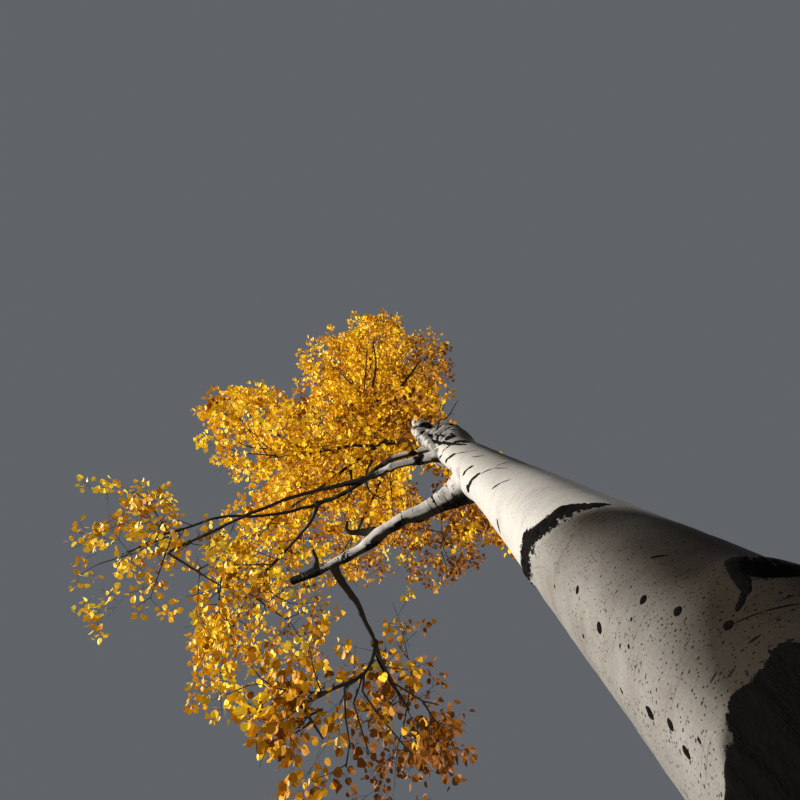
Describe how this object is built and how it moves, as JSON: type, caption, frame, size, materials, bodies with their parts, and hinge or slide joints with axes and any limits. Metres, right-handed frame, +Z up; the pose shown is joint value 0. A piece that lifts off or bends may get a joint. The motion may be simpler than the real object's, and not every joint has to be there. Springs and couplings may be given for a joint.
{
  "type": "poplar tree",
  "caption": "Tall leaning poplar tree in gold autumn leaf, with a pale scarred trunk, spreading boughs and open masses of small round leaves.",
  "frame": {"origin": "middle of the flat cut under the trunk, at ground level", "axes": "+Z up the tree; the trunk leans towards -X and a little towards -Y; the widest low boughs reach towards -X and +Y"},
  "size_m": [3.7171, 3.1776, 9.7907],
  "materials": {
    "trunk_bark": "smooth pale bark with dark scars",
    "bough_bark": "grey-brown bark",
    "gold_leaves": "satin",
    "amber_leaves": "satin",
    "russet_leaves": "satin"
  },
  "bodies": {
    "root": {"trunk": "trunk_bark", "centre_high_bough": "bough_bark", "crown_bough_1": "bough_bark", "crown_bough_2": "bough_bark", "crown_bough_3": "bough_bark", "crown_bough_4": "bough_bark", "crown_bough_5": "bough_bark", "crown_bough_6": "bough_bark", "crown_bough_7": "bough_bark", "drop_bough": "bough_bark", "far_bough": "bough_bark", "far_high_bough": "bough_bark", "far_top_bough": "bough_bark", "hanging_bough": "bough_bark", "hanging_bough_end": "bough_bark", "left_high_bough": "bough_bark", "long_bough": "bough_bark", "low_bough": "bough_bark", "low_right_bough": "bough_bark", "middle_bough": "bough_bark", "right_bough": "bough_bark", "twin_bough": "bough_bark", "upper_left_bough": "bough_bark", "centre_high_foliage": "amber_leaves", "centre_left_foliage": "gold_leaves", "crown_foliage_1": "gold_leaves", "crown_foliage_2": "gold_leaves", "crown_foliage_3": "amber_leaves", "crown_foliage_4": "amber_leaves", "crown_foliage_5": "gold_leaves", "crown_foliage_6": "gold_leaves", "crown_foliage_7": "amber_leaves", "far_foliage": "russet_leaves", "far_high_foliage": "amber_leaves", "far_left_foliage": "gold_leaves", "far_top_foliage": "amber_leaves", "left_foliage": "gold_leaves", "left_high_foliage": "gold_leaves", "low_foliage": "gold_leaves", "low_right_foliage": "russet_leaves", "mid_left_foliage": "gold_leaves", "middle_foliage": "amber_leaves", "right_foliage": "amber_leaves", "top_foliage": "gold_leaves", "upper_foliage_1": "amber_leaves", "upper_foliage_2": "gold_leaves", "upper_foliage_3": "gold_leaves"}
  },
  "joints": []
}
